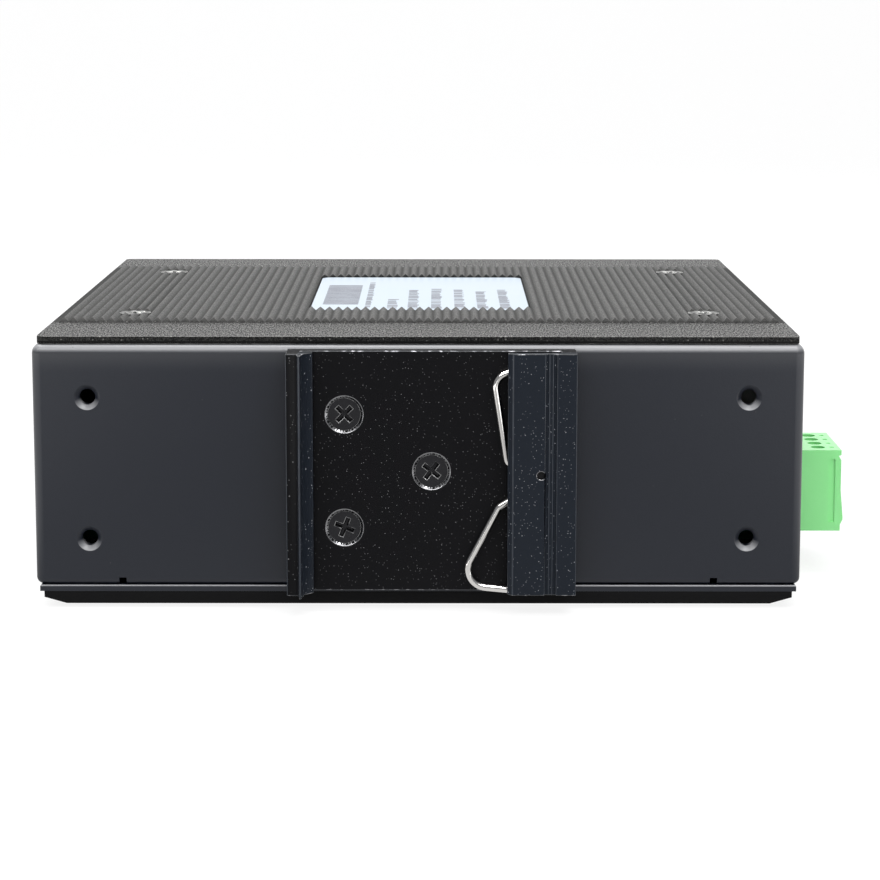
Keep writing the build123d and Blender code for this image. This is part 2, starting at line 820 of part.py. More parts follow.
# Block of ports: a folded metal shield round a moulded body
row_signs = [-1, 1]
port_places = [
    (port_block_x + (i - (port_columns - 1) / 2) * port_pitch_x, sign)
    for i in range(port_columns)
    for sign in row_signs
]
row_offset = port_pitch_z / 2 - (latch_height + keyway_height) / 2


def port_openings():
    """Outlines of the ports: a slot for the plug, with a stepped recess for its latch."""
    for x, sign in port_places:
        slot_z = port_block_z + sign * row_offset
        latch_z = slot_z + sign * (port_height + latch_height) / 2
        keyway_z = latch_z + sign * (latch_height + keyway_height) / 2
        with Locations((x, slot_z)):
            Rectangle(port_width, port_height)
        with Locations((x, latch_z)):
            Rectangle(latch_width, latch_height)
        with Locations((x, keyway_z)):
            Rectangle(keyway_width, keyway_height)


with BuildPart() as port_shield:
    with BuildSketch(Plane.XZ.offset(-front)):
        with Locations((port_block_x, port_block_z)):
            Rectangle(port_block_width, port_block_height)
    extrude(amount=port_block_depth)
    with BuildSketch(Plane.XZ.offset(-(front - shield))):
        with Locations((port_block_x, port_block_z - shield)):
            Rectangle(port_block_width - 2 * shield, port_block_height)
    extrude(amount=port_block_depth, mode=Mode.SUBTRACT)
    with BuildSketch(Plane.XZ.offset(-front)):
        port_openings()
    extrude(amount=2 * shield, mode=Mode.SUBTRACT)
save(port_shield, "port_shield")

with BuildPart() as port_insert:
    with BuildSketch(Plane.XZ.offset(-(front - shield))):
        with Locations((port_block_x, port_block_z - shield / 2)):
            Rectangle(port_block_width - 2 * shield, port_block_height - shield)
    extrude(amount=port_block_depth - shield)
    with BuildSketch(Plane.XZ.offset(-(front - shield))):
        port_openings()
    extrude(amount=port_depth - shield, mode=Mode.SUBTRACT)
save(port_insert, "port_insert")

# Spring contacts, eight in each port, on the side away from the latch
with BuildPart() as port_contacts:
    for x, sign in port_places:
        base_z = port_block_z + sign * (row_offset - port_height / 2)
        with BuildSketch(Plane.YZ.offset(x)) as blade:
            with BuildLine():
                Polyline(
                    (front - contact_start, base_z),
                    (front - contact_start - 2 * contact_wire, base_z),
                    (front - port_depth, base_z + sign * (contact_rise - contact_wire)),
                    (front - port_depth, base_z + sign * contact_rise),
                    close=True,
                )
            make_face()
        for k in range(contact_count):
            shift = (k - (contact_count - 1) / 2) * contact_pitch
            extrude(blade.sketch.moved(Location((shift, 0, 0))), amount=contact_wire / 2, both=True)
save(port_contacts, "port_contacts")

# Clear light guide behind the front wall, and the lights on the board behind it
guide_width = light_columns * light_pitch_x
guide_top = light_z + (light_rows - 1) * light_pitch_z / 2 + 2 * light_radius
with BuildPart() as light_guide:
    with BuildSketch(Plane.XZ.offset(-(front - light_setback))):
        with Locations((light_x, (board_top + guide_top) / 2)):
            Rectangle(guide_width, guide_top - board_top)
    extrude(amount=light_block_depth)
    with BuildSketch(Plane.XZ.offset(-(front - light_setback))):
        with Locations(*light_points):
            Circle(light_radius)
    extrude(amount=-(light_setback + light_proud))
save(light_guide, "light_guide")

led_y = front - light_setback - light_block_depth - led_size
led_points = [(x, led_y - 2 * j * led_size) for x in light_xs for j in range(light_rows)]
with BuildPart() as status_leds:
    with Locations(*[(x, y, board_top) for x, y in led_points]):
        Box(led_size, led_size, led_height, align=(Align.CENTER, Align.CENTER, Align.MIN))
save(status_leds, "status_leds")

# Switch chip, its thermal pad and its finned heat sink
with BuildPart() as switch_chip:
    with Locations((chip_x, chip_y, board_top)):
        Box(chip_size, chip_size, chip_height, align=(Align.CENTER, Align.CENTER, Align.MIN))
    chamfer(switch_chip.edges().filter_by(Axis.Z), chip_corner)
save(switch_chip, "switch_chip")

with BuildPart() as thermal_pad:
    with Locations((chip_x, chip_y, board_top + chip_height)):
        Box(chip_size, chip_size, pad_thickness, align=(Align.CENTER, Align.CENTER, Align.MIN))
save(thermal_pad, "thermal_pad")

sink_bottom = board_top + chip_height + pad_thickness
fin_pitch = (sink_size - sink_fin) / (sink_fins - 1)
fin_points = [(chip_x + (i - (sink_fins - 1) / 2) * fin_pitch, chip_y, sink_bottom) for i in range(sink_fins)]
with BuildPart() as chip_heat_sink:
    with Locations((chip_x, chip_y, sink_bottom)):
        Box(sink_size, sink_size, sink_base, align=(Align.CENTER, Align.CENTER, Align.MIN))
    with Locations(*fin_points):
        Box(sink_fin, sink_size, sink_height, align=(Align.CENTER, Align.CENTER, Align.MIN))
save(chip_heat_sink, "chip_heat_sink")

# Transformers behind the ports, and the power parts by the terminal
transformer_y = front - port_block_depth - transformer_gap - transformer_length / 2
transformer_points = [
    (port_block_x + (i - (port_columns - 1) / 2) * transformer_pitch, transformer_y, board_top)
    for i in range(port_columns)
]
with BuildPart() as lan_transformers:
    with Locations(*transformer_points):
        Box(
            transformer_width,
            transformer_length,
            transformer_height,
            align=(Align.CENTER, Align.CENTER, Align.MIN),
        )
    chamfer(lan_transformers.edges().group_by(Axis.Z)[-1], transformer_bevel)
save(lan_transformers, "lan_transformers")

power_x = header_back - power_inset
with BuildPart() as power_capacitors:
    with Locations(
        (power_x - capacitor_pitch / 2, capacitor_y, board_top),
        (power_x + capacitor_pitch / 2, capacitor_y, board_top),
    ):
        Cylinder(capacitor_radius, capacitor_height, align=(Align.CENTER, Align.CENTER, Align.MIN))
    fillet(power_capacitors.edges().group_by(Axis.Z)[-1], capacitor_edge)
save(power_capacitors, "power_capacitors")

with BuildPart() as power_inductor:
    with Locations((power_x, inductor_y, board_top)):
        Box(inductor_size, inductor_size, inductor_height, align=(Align.CENTER, Align.CENTER, Align.MIN))
    fillet(power_inductor.edges().filter_by(Axis.Z), inductor_corner)
save(power_inductor, "power_inductor")

with BuildPart() as clock_crystal:
    with BuildSketch(Plane.XY.offset(board_top)):
        with Locations((crystal_x, crystal_y)):
            SlotOverall(crystal_length, crystal_width)
    extrude(amount=crystal_height)
save(clock_crystal, "clock_crystal")
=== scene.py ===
import random
from math import pi, radians

import bmesh
import bpy
from mathutils import Matrix, Vector


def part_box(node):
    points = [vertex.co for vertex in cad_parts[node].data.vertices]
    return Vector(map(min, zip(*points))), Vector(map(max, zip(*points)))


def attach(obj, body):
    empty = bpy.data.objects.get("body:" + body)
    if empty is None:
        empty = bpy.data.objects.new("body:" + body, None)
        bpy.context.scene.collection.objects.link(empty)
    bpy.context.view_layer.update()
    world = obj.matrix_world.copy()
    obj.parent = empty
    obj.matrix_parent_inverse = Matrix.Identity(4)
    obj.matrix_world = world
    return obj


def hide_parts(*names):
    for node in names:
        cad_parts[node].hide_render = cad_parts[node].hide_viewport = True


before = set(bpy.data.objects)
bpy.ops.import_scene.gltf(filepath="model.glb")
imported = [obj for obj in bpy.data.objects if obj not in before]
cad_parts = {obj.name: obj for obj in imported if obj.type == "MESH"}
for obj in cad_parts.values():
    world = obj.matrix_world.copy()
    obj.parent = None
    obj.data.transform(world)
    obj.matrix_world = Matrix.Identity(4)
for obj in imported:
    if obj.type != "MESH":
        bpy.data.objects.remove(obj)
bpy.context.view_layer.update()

# Case: one steel sheet folded into a tray, with drawn and tapped holes in its back. It has a satin black
# powder coat, slightly orange-peeled. Its colour holds painted highlights: paler on the upward slopes of
# the folds and rounded edges, and towards the top of the walls.
MM = 0.001
SHEET_EDGE = 0.12 * MM
# Painted highlights in the coat: paler towards the top of the walls, and paler still on the folds.
WALL_HIGHLIGHT_FROM = 39.5 * MM
WALL_HIGHLIGHT_TO = 43.6 * MM
PAINT = (0.007, 0.0095, 0.017)
WALL_HIGHLIGHT_PAINT = (0.03, 0.032, 0.038)
FOLD_HIGHLIGHT_PAINT = (0.25, 0.252, 0.262)
PAINT_DUST = (0.08, 0.08, 0.08)


def node(tree, kind, inputs=None, **settings):
    """A node with its settings, and the sockets or values that feed its inputs."""
    made = tree.nodes.new(kind)
    for key, value in settings.items():
        setattr(made, key, value)
    for key, value in (inputs or {}).items():
        if isinstance(value, bpy.types.NodeSocket):
            tree.links.new(value, made.inputs[key])
        else:
            made.inputs[key].default_value = value
    return made


def ranged(tree, value, start, stop, low=0.0, high=1.0, **settings):
    """A value that runs from low to high as another runs from start to stop."""
    inputs = {"Value": value, "From Min": start, "From Max": stop, "To Min": low, "To Max": high}
    return node(tree, "ShaderNodeMapRange", inputs, **settings).outputs["Result"]


def combined(tree, operation, first, second=0.0):
    """One value made of two, or of one where the operation takes one."""
    return node(tree, "ShaderNodeMath", {0: first, 1: second}, operation=operation).outputs[0]


def own_place(tree):
    """The place on the object."""
    return node(tree, "ShaderNodeTexCoord").outputs["Object"]


def measures(tree):
    """The X, Y and Z of the place on the object."""
    return node(tree, "ShaderNodeSeparateXYZ", {0: own_place(tree)}).outputs


def effect(name, inputs, outputs):
    """An empty group for an effect that several finishes share."""
    group = bpy.data.node_groups.new(name, "ShaderNodeTree")
    for label, value in inputs.items():
        socket = group.interface.new_socket(name=label, in_out="INPUT", socket_type="NodeSocketFloat")
        socket.default_value = value
    for label, kind in outputs.items():
        group.interface.new_socket(name=label, in_out="OUTPUT", socket_type=kind)
    return group, group.nodes.new("NodeGroupInput"), group.nodes.new("NodeGroupOutput")


def finish(name, colour, roughness, metallic=0.0, **values):
    """A material with its Principled shader's own values."""
    made = bpy.data.materials.new(name)
    made.use_nodes = True
    shader = made.node_tree.nodes["Principled BSDF"]
    shader.inputs["Base Color"].default_value = (*colour, 1)
    shader.inputs["Roughness"].default_value = roughness
    shader.inputs["Metallic"].default_value = metallic
    for label, value in values.items():
        shader.inputs[label.replace("_", " ")].default_value = value
    return made


def use(made, group, **values):
    """Places an effect in a material and gives back its node."""
    inputs = {label.replace("_", " "): value for label, value in values.items()}
    return node(made.node_tree, "ShaderNodeGroup", inputs, node_tree=group)


def feed(made, **sockets):
    """Links sockets to the inputs of a material's Principled shader."""
    shader = made.node_tree.nodes["Principled BSDF"]
    for label, socket in sockets.items():
        made.node_tree.links.new(socket, shader.inputs[label.replace("_", " ")])


def between(made, share, low, high):
    """A value that runs from low to high as share runs from 0 to 1."""
    return ranged(made.node_tree, share, 0.0, 1.0, low, high)


def blended(made, share, low, high):
    """A colour that runs from low to high as share runs from 0 to 1."""
    mix = node(made.node_tree, "ShaderNodeMix", data_type="RGBA")
    for socket, value in zip((mix.inputs[0], mix.inputs[6], mix.inputs[7]), (share, low, high)):
        if isinstance(value, bpy.types.NodeSocket):
            made.node_tree.links.new(value, socket)
        else:
            socket.default_value = (*value, 1)
    return mix.outputs[2]


# The grain of a coat or a casting: a fine bump, and a value that changes slowly over the surface
grain, start, end = effect(
    "surface_grain",
    {"Scale": 2000.0, "Height": 0.01, "Cloud Scale": 30.0},
    {"Normal": "NodeSocketVector", "Cloud": "NodeSocketFloat", "Grain": "NodeSocketFloat"},
)
place = own_place(grain)
fine = node(
    grain,
    "ShaderNodeTexNoise",
    {"Vector": place, "Scale": start.outputs["Scale"], "Detail": 2.0},
)
cloud = node(
    grain,
    "ShaderNodeTexNoise",
    {"Vector": place, "Scale": start.outputs["Cloud Scale"], "Detail": 3.0},
)
lift = combined(grain, "MULTIPLY", start.outputs["Height"], MM)
bump = node(grain, "ShaderNodeBump", {"Height": fine.outputs["Fac"], "Distance": lift})
grain.links.new(bump.outputs["Normal"], end.inputs["Normal"])
grain.links.new(cloud.outputs["Fac"], end.inputs["Cloud"])
grain.links.new(fine.outputs["Fac"], end.inputs["Grain"])

# Dust that has settled: small pale specks of several sizes, each lying within its own cell
dust, start, end = effect(
    "dust_specks",
    {"Scale": 900.0, "Amount": 0.1, "Size": 0.14},
    {"Mask": "NodeSocketFloat"},
)
SMALLEST_SPECK = 0.04
cells = node(
    dust,
    "ShaderNodeTexVoronoi",
    {"Vector": own_place(dust), "Scale": start.outputs["Scale"]},
)
chance, size, paleness = node(dust, "ShaderNodeSeparateColor", {0: cells.outputs["Color"]}).outputs
seldom = combined(dust, "LESS_THAN", chance, start.outputs["Amount"])
radius = ranged(dust, size, 0.0, 1.0, SMALLEST_SPECK, start.outputs["Size"])
near = combined(dust, "LESS_THAN", cells.outputs["Distance"], radius)
speck = combined(dust, "MULTIPLY", seldom, near)
dust.links.new(combined(dust, "MULTIPLY", speck, paleness), end.inputs["Mask"])


def grained(made, scale, height, cloud_scale, roughness=None, colours=None):
    """Gives a finish its fine grain, and a roughness or a colour that changes slowly over it."""
    surface = use(made, grain, Scale=scale, Height=height, Cloud_Scale=cloud_scale)
    feed(made, Normal=surface.outputs["Normal"])
    if roughness:
        feed(made, Roughness=between(made, surface.outputs["Cloud"], *roughness))
    if colours:
        feed(made, Base_Color=blended(made, surface.outputs["Cloud"], *colours))
    return made


def merged(name):
    """A copy of a CAD node with its triangles merged into whole faces."""
    shape = bmesh.new()
    shape.from_mesh(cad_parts[name].data)
    bmesh.ops.remove_doubles(shape, verts=shape.verts, dist=0.002 * MM)
    bmesh.ops.dissolve_limit(shape, angle_limit=radians(1), verts=shape.verts, edges=shape.edges)
    return shape


def bevelled(shape, edges, width):
    """Rounds some edges of a shape and gives back the new faces."""
    return bmesh.ops.bevel(
        shape,
        geom=edges,
        offset=width,
        affect="EDGES",
        segments=2,
        profile=0.5,
        material=-1,
        clamp_overlap=True,
    )["faces"]


def rounded(shape, width, least_angle=25):
    """Rounds the sharp outer edges of a shape. The new faces take the second material."""
    sharp = [e for e in shape.edges if e.is_convex and e.calc_face_angle() > radians(least_angle)]
    for face in bevelled(shape, sharp, width):
        face.material_index = 1
    return shape


def piece(shape, name, body, finished, stands_for=(), edge_finish=None, others=()):
    """An object made of a shape, on its body and in place of its CAD nodes."""
    mesh = bpy.data.meshes.new(name)
    shape.to_mesh(mesh)
    shape.free()
    mesh.shade_smooth()
    mesh.set_sharp_from_angle(angle=radians(40))
    made = bpy.data.objects.new(name, mesh)
    bpy.context.scene.collection.objects.link(made)
    made.modifiers.new("even_normals", "WEIGHTED_NORMAL").keep_sharp = True
    for material in (finished, edge_finish or finished, *others):
        mesh.materials.append(material)
    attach(made, body)
    if stands_for:
        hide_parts(*stands_for)
    return made


black_paint = finish("black_paint", PAINT, 0.34, Specular_IOR_Level=0.6)
grained(black_paint, scale=2600.0, height=0.012, cloud_scale=22.0, roughness=(0.28, 0.4))
specks = use(black_paint, dust, Scale=900.0, Amount=0.06)
tree = black_paint.node_tree
facing = node(tree, "ShaderNodeNewGeometry").outputs["Normal"]
upward = node(tree, "ShaderNodeSeparateXYZ", {0: facing}).outputs["Z"]
# Painted highlight: the coat is paler where its surface slopes upward, on folds and rounded edges, but not
# on flat tops.
fold = ranged(tree, upward, 0.12, 0.6)
beside_top = ranged(tree, upward, 0.8, 1.0, 1.0, 0.0)
painted_fold_highlight = combined(tree, "MULTIPLY", fold, beside_top)
# Painted highlight: the walls grow paler towards their tops.
high = ranged(
    tree,
    measures(tree)["Z"],
    WALL_HIGHLIGHT_FROM,
    WALL_HIGHLIGHT_TO,
    interpolation_type="SMOOTHSTEP",
)
wall_with_painted_highlight = blended(black_paint, high, PAINT, WALL_HIGHLIGHT_PAINT)
coat_with_painted_highlights = blended(black_paint, painted_fold_highlight, wall_with_painted_highlight, FOLD_HIGHLIGHT_PAINT)
feed(black_paint, Base_Color=blended(black_paint, specks.outputs["Mask"], coat_with_painted_highlights, PAINT_DUST))
tray_shape = rounded(merged("housing"), SHEET_EDGE)
piece(tray_shape, "case_tray", "chassis", black_paint, ["housing"])

# Lower sheet: a flat steel sheet, coated as the case is, that closes the tray. Its rounded upper edge
# takes the coat's painted highlight, which shows as a thin pale line under the case.
base_shape = rounded(merged("lower_cover"), SHEET_EDGE)
piece(base_shape, "base_sheet", "chassis", black_paint, ["lower_cover"])

# Ribbed plates: aluminium with rolled ribs, given a grit blast and anodised black, so that the surface is
# a coarse sand texture. Its colour holds painted light: painted glints as bright grains, painted shade in
# the rib valleys, a darker front rim with a painted shadow line at its foot, and a painted highlight on
# the upper plate's outer edges.
GRAINS_A_METRE = (4600.0, 1200.0, 4600.0)
MARGIN_FROM = 41.9 * MM
MARGIN_TO = 42.5 * MM
RIB_FOOT = 45.7 * MM
RIB_CREST = 46.3 * MM
GAP_SHADOW_FROM = 44.8 * MM
GAP_SHADOW_TO = 44.95 * MM
FACE_FROM = 45.5 * MM
FACE_TO = 45.6 * MM
SAND_LIFT = 0.03 * MM
BLACKEST_SAND = (0.001, 0.001, 0.001)
PALEST_SAND = (0.088, 0.087, 0.083)
PAINTED_GLINT_COLOUR = (0.6, 0.59, 0.55)
sand_black = finish("sand_black", (0.014, 0.0137, 0.013), 0.5, Specular_IOR_Level=0.22)
tree = sand_black.node_tree
along_ribs = node(tree, "ShaderNodeMapping", {"Vector": own_place(tree), "Scale": GRAINS_A_METRE})
sand = node(tree, "ShaderNodeTexNoise", {"Vector": along_ribs.outputs[0], "Scale": 1.0, "Detail": 1.5})
grains = ranged(tree, sand.outputs["Fac"], 0.42, 0.58)
position = measures(tree)
margin = ranged(tree, combined(tree, "ABSOLUTE", position["Y"]), MARGIN_FROM, MARGIN_TO)
# Painted shade: the sand is darker down in the rib valleys and paler towards the crests.
painted_rib_shade = ranged(tree, position["Z"], RIB_FOOT, RIB_CREST, 0.15, 0.75)
rib_grain_and_painted_shade = combined(tree, "MULTIPLY", painted_rib_shade, between(sand_black, grains, 0.65, 0.95))
pale = node(tree, "ShaderNodeMix", {0: margin, 2: rib_grain_and_painted_shade, 3: grains}).outputs[0]
# Painted shadow and shade: black along the foot of the plate's front rim, and the rim face darker than the
# top.
painted_rim_shadow = ranged(tree, position["Z"], GAP_SHADOW_FROM, GAP_SHADOW_TO, 0.0, 0.3)
above_edge = ranged(tree, position["Z"], FACE_FROM, FACE_TO, 0.0, 0.7)
top_and_painted_rim_shade = combined(tree, "ADD", painted_rim_shadow, above_edge)
grain_and_painted_shade = combined(tree, "MULTIPLY", pale, top_and_painted_rim_shade)
relief = node(tree, "ShaderNodeBump", {"Height": grains, "Distance": SAND_LIFT})
# Painted glints: bright specks in the base colour, mostly on the flat margins and never on the rim.
glints = use(sand_black, dust, Scale=1700.0, Amount=0.5, Size=0.28)
fewer_on_ribs = combined(tree, "MULTIPLY", between(sand_black, margin, 0.12, 1.0), top_and_painted_rim_shade)
painted_glints = combined(tree, "MULTIPLY", glints.outputs["Mask"], fewer_on_ribs)
shade = blended(sand_black, grain_and_painted_shade, BLACKEST_SAND, PALEST_SAND)
feed(
    sand_black,
    Normal=relief.outputs["Normal"],
    Roughness=between(sand_black, grain_and_painted_shade, 0.7, 0.32),
    Base_Color=blended(sand_black, painted_glints, shade, PAINTED_GLINT_COLOUR),
)
# Painted highlight: the bevels round the upper plate's top edges are painted pale, brightest in patches.
sand_edge_highlight = grained(
    finish("sand_edge_highlight", (0.16, 0.158, 0.15), 0.36),
    scale=1500.0,
    height=0.03,
    cloud_scale=900.0,
    colours=((0.1, 0.1, 0.095), (1.0, 0.99, 0.96)),
)
# Painted shade: a darker, duller copy of the plates' black, for the lower plate under the case.
rim_black_painted_shade = grained(
    finish("rim_black_painted_shade", (0.006, 0.006, 0.0065), 0.5, Specular_IOR_Level=0.1),
    scale=2200.0,
    height=0.02,
    cloud_scale=40.0,
    roughness=(0.44, 0.6),
)
UPPER_FACE = 45.65 * MM
LOWER_FACE = 0.75 * MM
LOWER_EDGE = 0.06 * MM
RIB_END = 42.25 * MM
RUN_OUT = 1.6
TOUCHING = 0.01 * MM
SHARPER_THAN_RIBS = 35
NO_EDGE_HIGHLIGHT_X = 61.5 * MM
NO_EDGE_HIGHLIGHT_Y = 57.5 * MM


def run_out(shape, face, way):
    """Slopes both ends of the ribs down to the plate's face, at the height called face."""
    for v in shape.verts:
        rise = way * (v.co.z - face)
        if rise > TOUCHING and abs(abs(v.co.y) - RIB_END) < TOUCHING:
            v.co.y -= RUN_OUT * rise * (1 if v.co.y > 0 else -1)
    return shape


upper_shape = run_out(merged("ribbed_side_cover"), UPPER_FACE, 1)
rounded(upper_shape, SHEET_EDGE, SHARPER_THAN_RIBS)
for face in upper_shape.faces:
    centre = face.calc_center_median()
    if abs(centre.x) < NO_EDGE_HIGHLIGHT_X and abs(centre.y) < NO_EDGE_HIGHLIGHT_Y:
        face.material_index = 0
piece(
    upper_shape,
    "upper_ribbed_plate",
    "chassis",
    sand_black,
    ["ribbed_side_cover"],
    sand_edge_highlight,
)
# The lower plate takes the darker copy of the black, painted shade under the case.
lower_shape = run_out(merged("lower_side_cover"), LOWER_FACE, -1)
rounded(lower_shape, LOWER_EDGE, SHARPER_THAN_RIBS)
piece(
    lower_shape,
    "lower_ribbed_plate",
    "chassis",
    rim_black_painted_shade,
    ["lower_side_cover"],
)

# Rating label: a pale satin film in the upper plate's pocket. Its print is generic: a barred block and
# rows of grey dashes, with nothing to read.
INK = 0.012 * MM
BLOCK_LEFT = -17.6
BLOCK_WIDTH = 6.4
BLOCK_START = -18.5
BLOCK_END = 10.0
BARS = (0.6, 0.9, 1.3)
BAR_GAPS = (0.2, 0.3)
DASH_GAPS = (0.3, 0.3, 0.9)


def dress(finished, *names):
    """Gives CAD nodes a material."""
    for name in names:
        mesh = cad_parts[name].data
        mesh.materials.clear()
        mesh.materials.append(finished)


def clouded(made, cloud_scale, low, high):
    """Gives a smooth finish a colour that changes slowly over it."""
    surface = use(made, grain, Cloud_Scale=cloud_scale)
    feed(made, Base_Color=blended(made, surface.outputs["Cloud"], low, high))
    return made


film = grained(
    finish("label_film", (0.5, 0.57, 0.64), 0.36, Specular_IOR_Level=0.15),
    scale=900.0,
    height=0.002,
    cloud_scale=60.0,
    colours=((0.48, 0.56, 0.64), (0.53, 0.59, 0.65)),
)
dress(film, "rating_label")
label_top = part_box("rating_label")[1].z


def printed(shape, x, y, width, length):
    """A field of ink on the film, with its near left corner at x and y, in millimetres."""
    box = bmesh.ops.create_cube(shape, size=1)["verts"]
    bmesh.ops.scale(shape, verts=box, vec=(width * MM, length * MM, 2 * INK))
    middle = ((x + width / 2) * MM, (y + length / 2) * MM, label_top)
    bmesh.ops.translate(shape, verts=box, vec=middle)


rows = random.Random(7)
bars = bmesh.new()
along = BLOCK_START
while along < BLOCK_END:
    thick = rows.choice(BARS)
    printed(bars, BLOCK_LEFT, along, BLOCK_WIDTH, thick)
    along += thick + rows.choice(BAR_GAPS)
for left, width, first, last in (
    (-9.9, 1.2, -22.5, 15.0),
    (-5.9, 2.0, -24.0, -11.0),
    (-2.2, 2.0, -24.0, 2.0),
    (2.0, 2.0, -24.0, 4.5),
    (6.2, 2.0, -24.0, 4.0),
    (10.3, 2.0, -24.0, 1.0),
    (14.4, 2.0, -24.0, 2.5),
):
    along = first
    while along < last:
        dash = rows.uniform(0.5, 1.5)
        printed(bars, left, along, width * rows.uniform(0.75, 1.0), dash)
        along += dash + rows.choice(DASH_GAPS)
ink = clouded(finish("grey_ink", (0.16, 0.17, 0.2), 0.5), 260.0, (0.12, 0.125, 0.15), (0.3, 0.32, 0.37))
piece(bars, "label_print", "chassis", ink)

# Screws of the plates and sheets: countersunk cross-head screws, bright zinc plated, each left where
# it was turned to. The nuts are pressed into the sheets behind them.
SCREW_EDGE = 0.09 * MM
SCREW_X = 49.8 * MM
SCREW_Y = 31.5 * MM
UPPER_SCREW_Z = 45 * MM
LOWER_SCREW_Z = 3 * MM
zinc = grained(
    finish("bright_zinc", (0.72, 0.72, 0.7), 0.26, 1.0),
    scale=2400.0,
    height=0.006,
    cloud_scale=500.0,
    roughness=(0.16, 0.42),
    colours=((0.62, 0.62, 0.6), (0.8, 0.8, 0.78)),
)
dark_zinc = grained(
    finish("dark_zinc", (0.09, 0.09, 0.09), 0.36, 0.9),
    scale=1800.0,
    height=0.01,
    cloud_scale=600.0,
    colours=((0.03, 0.03, 0.03), (0.2, 0.2, 0.19)),
)


def screws(node_name, piece_name, finished, edge_finish, axis, turns):
    """Copies of a node's screws with rounded edges. Each turns by the degrees of the nearest place."""
    shape = rounded(merged(node_name), SCREW_EDGE)
    left = set(shape.verts)
    while left:
        screw = {left.pop()}
        growing = list(screw)
        while growing:
            for e in growing.pop().link_edges:
                grown = [v for v in e.verts if v not in screw]
                screw.update(grown)
                growing.extend(grown)
        left -= screw
        low = Vector(min(v.co[k] for v in screw) for k in range(3))
        high = Vector(max(v.co[k] for v in screw) for k in range(3))
        middle = (low + high) / 2
        nearest = min(turns, key=lambda point: (Vector(point) - middle).length)
        turned = Matrix.Rotation(radians(turns[nearest]), 3, axis)
        bmesh.ops.rotate(shape, verts=list(screw), cent=middle, matrix=turned)
    piece(shape, piece_name, "chassis", finished, [node_name], edge_finish)


corners = [(x, y) for y in (-SCREW_Y, SCREW_Y) for x in (-SCREW_X, SCREW_X)]
upper_turns = {(x, y, UPPER_SCREW_Z): turn for (x, y), turn in zip(corners, (20, 38, 5, 62))}
screws("side_cover_screws", "upper_plate_screws", dark_zinc, zinc, "Z", upper_turns)
lower_turns = {(x, y, LOWER_SCREW_Z): turn for (x, y), turn in zip(corners, (70, 12, 33, 51))}
screws("lower_side_screws", "lower_plate_screws", dark_zinc, zinc, "Z", lower_turns)
dress(zinc, "side_cover_nuts", "lower_side_nuts", "lower_cover_screws", "din_plate_nuts")

# Rail clip: one length of aluminium extrusion, sawn off and anodised black. Draw lines run along it, dust
# lies on it, its sawn edges are worn, and its screw seats were turned bare after the anodising.
DRAW_LINES_A_METRE = (2600.0, 2600.0, 40.0)
DRAW_LINE_LIFT = 0.004 * MM
HOOK_FROM = -63.0 * MM
HOOK_TO = -64.5 * MM
LEFT_HOOK_FROM = -19.7 * MM
LEFT_HOOK_TO = -19.3 * MM
clip_black = finish("clip_black", (0.005, 0.005, 0.006), 0.34, Specular_IOR_Level=0.12)
tree = clip_black.node_tree
lengthwise = node(tree, "ShaderNodeMapping", {"Vector": own_place(tree), "Scale": DRAW_LINES_A_METRE})
lines = node(tree, "ShaderNodeTexNoise", {"Vector": lengthwise.outputs[0], "Scale": 1.0}).outputs["Fac"]
drawn = node(tree, "ShaderNodeBump", {"Height": lines, "Distance": DRAW_LINE_LIFT})
position = measures(tree)
# Painted sheen: the front faces of the hooks, and the dust on them, are painted paler and bluer than the
# rest of the clip.
proud = ranged(tree, position["Y"], HOOK_FROM, HOOK_TO)
right_of_wall = ranged(tree, position["X"], LEFT_HOOK_FROM, LEFT_HOOK_TO)
outer = combined(tree, "MULTIPLY", proud, right_of_wall)
anodised = blended(clip_black, outer, (0.0045, 0.0045, 0.0055), (0.012, 0.0155, 0.022))
clip_dust = use(clip_black, dust, Scale=2100.0, Amount=0.85, Size=0.25)
dust_and_painted_sheen = blended(clip_black, outer, (0.17, 0.17, 0.175), (0.34, 0.35, 0.38))
feed(
    clip_black,
    Normal=drawn.outputs["Normal"],
    Roughness=between(clip_black, lines, 0.28, 0.42),
    Base_Color=blended(clip_black, clip_dust.outputs["Mask"], anodised, dust_and_painted_sheen),
)


def worn(name, black, bright, low, high):
    """A black coat rubbed through in patches: where the noise is over high the metal is bare."""
    made = finish(name, black, 0.32)
    patches = use(made, grain, Scale=900.0, Height=0.02, Cloud_Scale=700.0)
    bare = ranged(made.node_tree, patches.outputs["Grain"], low, high)
    feed(
        made,
        Normal=patches.outputs["Normal"],
        Metallic=bare,
        Roughness=between(made, patches.outputs["Cloud"], 0.22, 0.45),
        Base_Color=blended(made, bare, black, bright),
    )
    return made


worn_anodising = worn("worn_anodising", (0.014, 0.017, 0.022), (0.45, 0.45, 0.47), 0.52, 0.68)
seat_metal = grained(
    finish("seat_metal", (0.34, 0.34, 0.35), 0.26, 1.0),
    scale=1500.0,
    height=0.01,
    cloud_scale=700.0,
    roughness=(0.16, 0.34),
)
thin_anodising = grained(
    finish("thin_anodising", (0.03, 0.042, 0.06), 0.3),
    scale=900.0,
    height=0.01,
    cloud_scale=500.0,
    colours=((0.006, 0.008, 0.012), (0.036, 0.046, 0.062)),
)
CLIP_EDGE = 0.14 * MM
CLIP_LEAST_ANGLE = 20
CLIP_MIDDLE = 23.75 * MM
SAWN_FROM = 19.6 * MM
CLIP_FACE = -62.15 * MM
SEAT_PLACES = ((2.2 * MM, CLIP_MIDDLE), (-12.1 * MM, 33.2 * MM), (-12.1 * MM, 14.3 * MM))
STAKE_X = 20.05 * MM
SEAT_INSIDE = 2.0 * MM
SEAT_OUTSIDE = 3.3 * MM
SEAT_REACH = 3.6 * MM
SEAT_RIM = 0.26 * MM
SMALL_FACE = 1.0 * MM * MM


